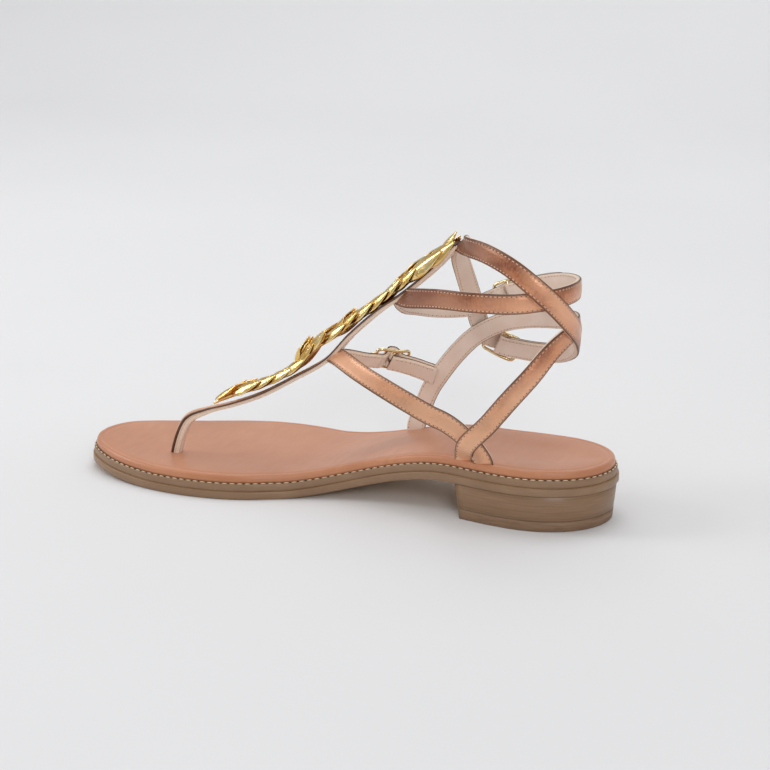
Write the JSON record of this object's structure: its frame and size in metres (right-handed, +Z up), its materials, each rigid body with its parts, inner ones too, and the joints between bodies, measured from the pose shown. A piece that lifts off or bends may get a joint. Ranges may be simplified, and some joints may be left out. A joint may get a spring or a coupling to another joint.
{
  "type": "gladiator toe post sandal",
  "caption": "Leather gladiator sandal for the right foot: toe post and T-bar with gold leaves, crossing ankle straps with buckles, padded insole, low block heel.",
  "frame": {"origin": "middle of the heel's tread face, on the floor", "axes": "+X towards the toe, +Y towards the inner side of the foot, +Z up"},
  "size_m": [0.2477, 0.0902, 0.1218],
  "materials": {
    "sole_leather": "matt tan sole leather, a little mottled",
    "edge_leather": "grey-brown stained edge, satin",
    "insole_leather": "smooth tan lining leather, soft sheen",
    "lift_rubber": "brown rubber with a fine diagonal mesh",
    "strap_leather": "burnished rose-brown metallic leather, nude lining",
    "gold_leaf": "bright polished gold",
    "buckle_metal": "pale gold plating, polished"
  },
  "bodies": {
    "root": {"outsole": "sole_leather", "midsole": "edge_leather", "insole": "insole_leather", "heel_block": "edge_leather", "top_lift": "lift_rubber", "upper": "strap_leather", "leaf_trim": "gold_leaf", "buckle_frame_upper_ankle": "buckle_metal", "buckle_pin_upper_ankle": "buckle_metal", "buckle_frame_lower_ankle": "buckle_metal", "buckle_pin_lower_ankle": "buckle_metal", "buckle_frame_forefoot": "buckle_metal", "buckle_pin_forefoot": "buckle_metal"}
  },
  "joints": []
}
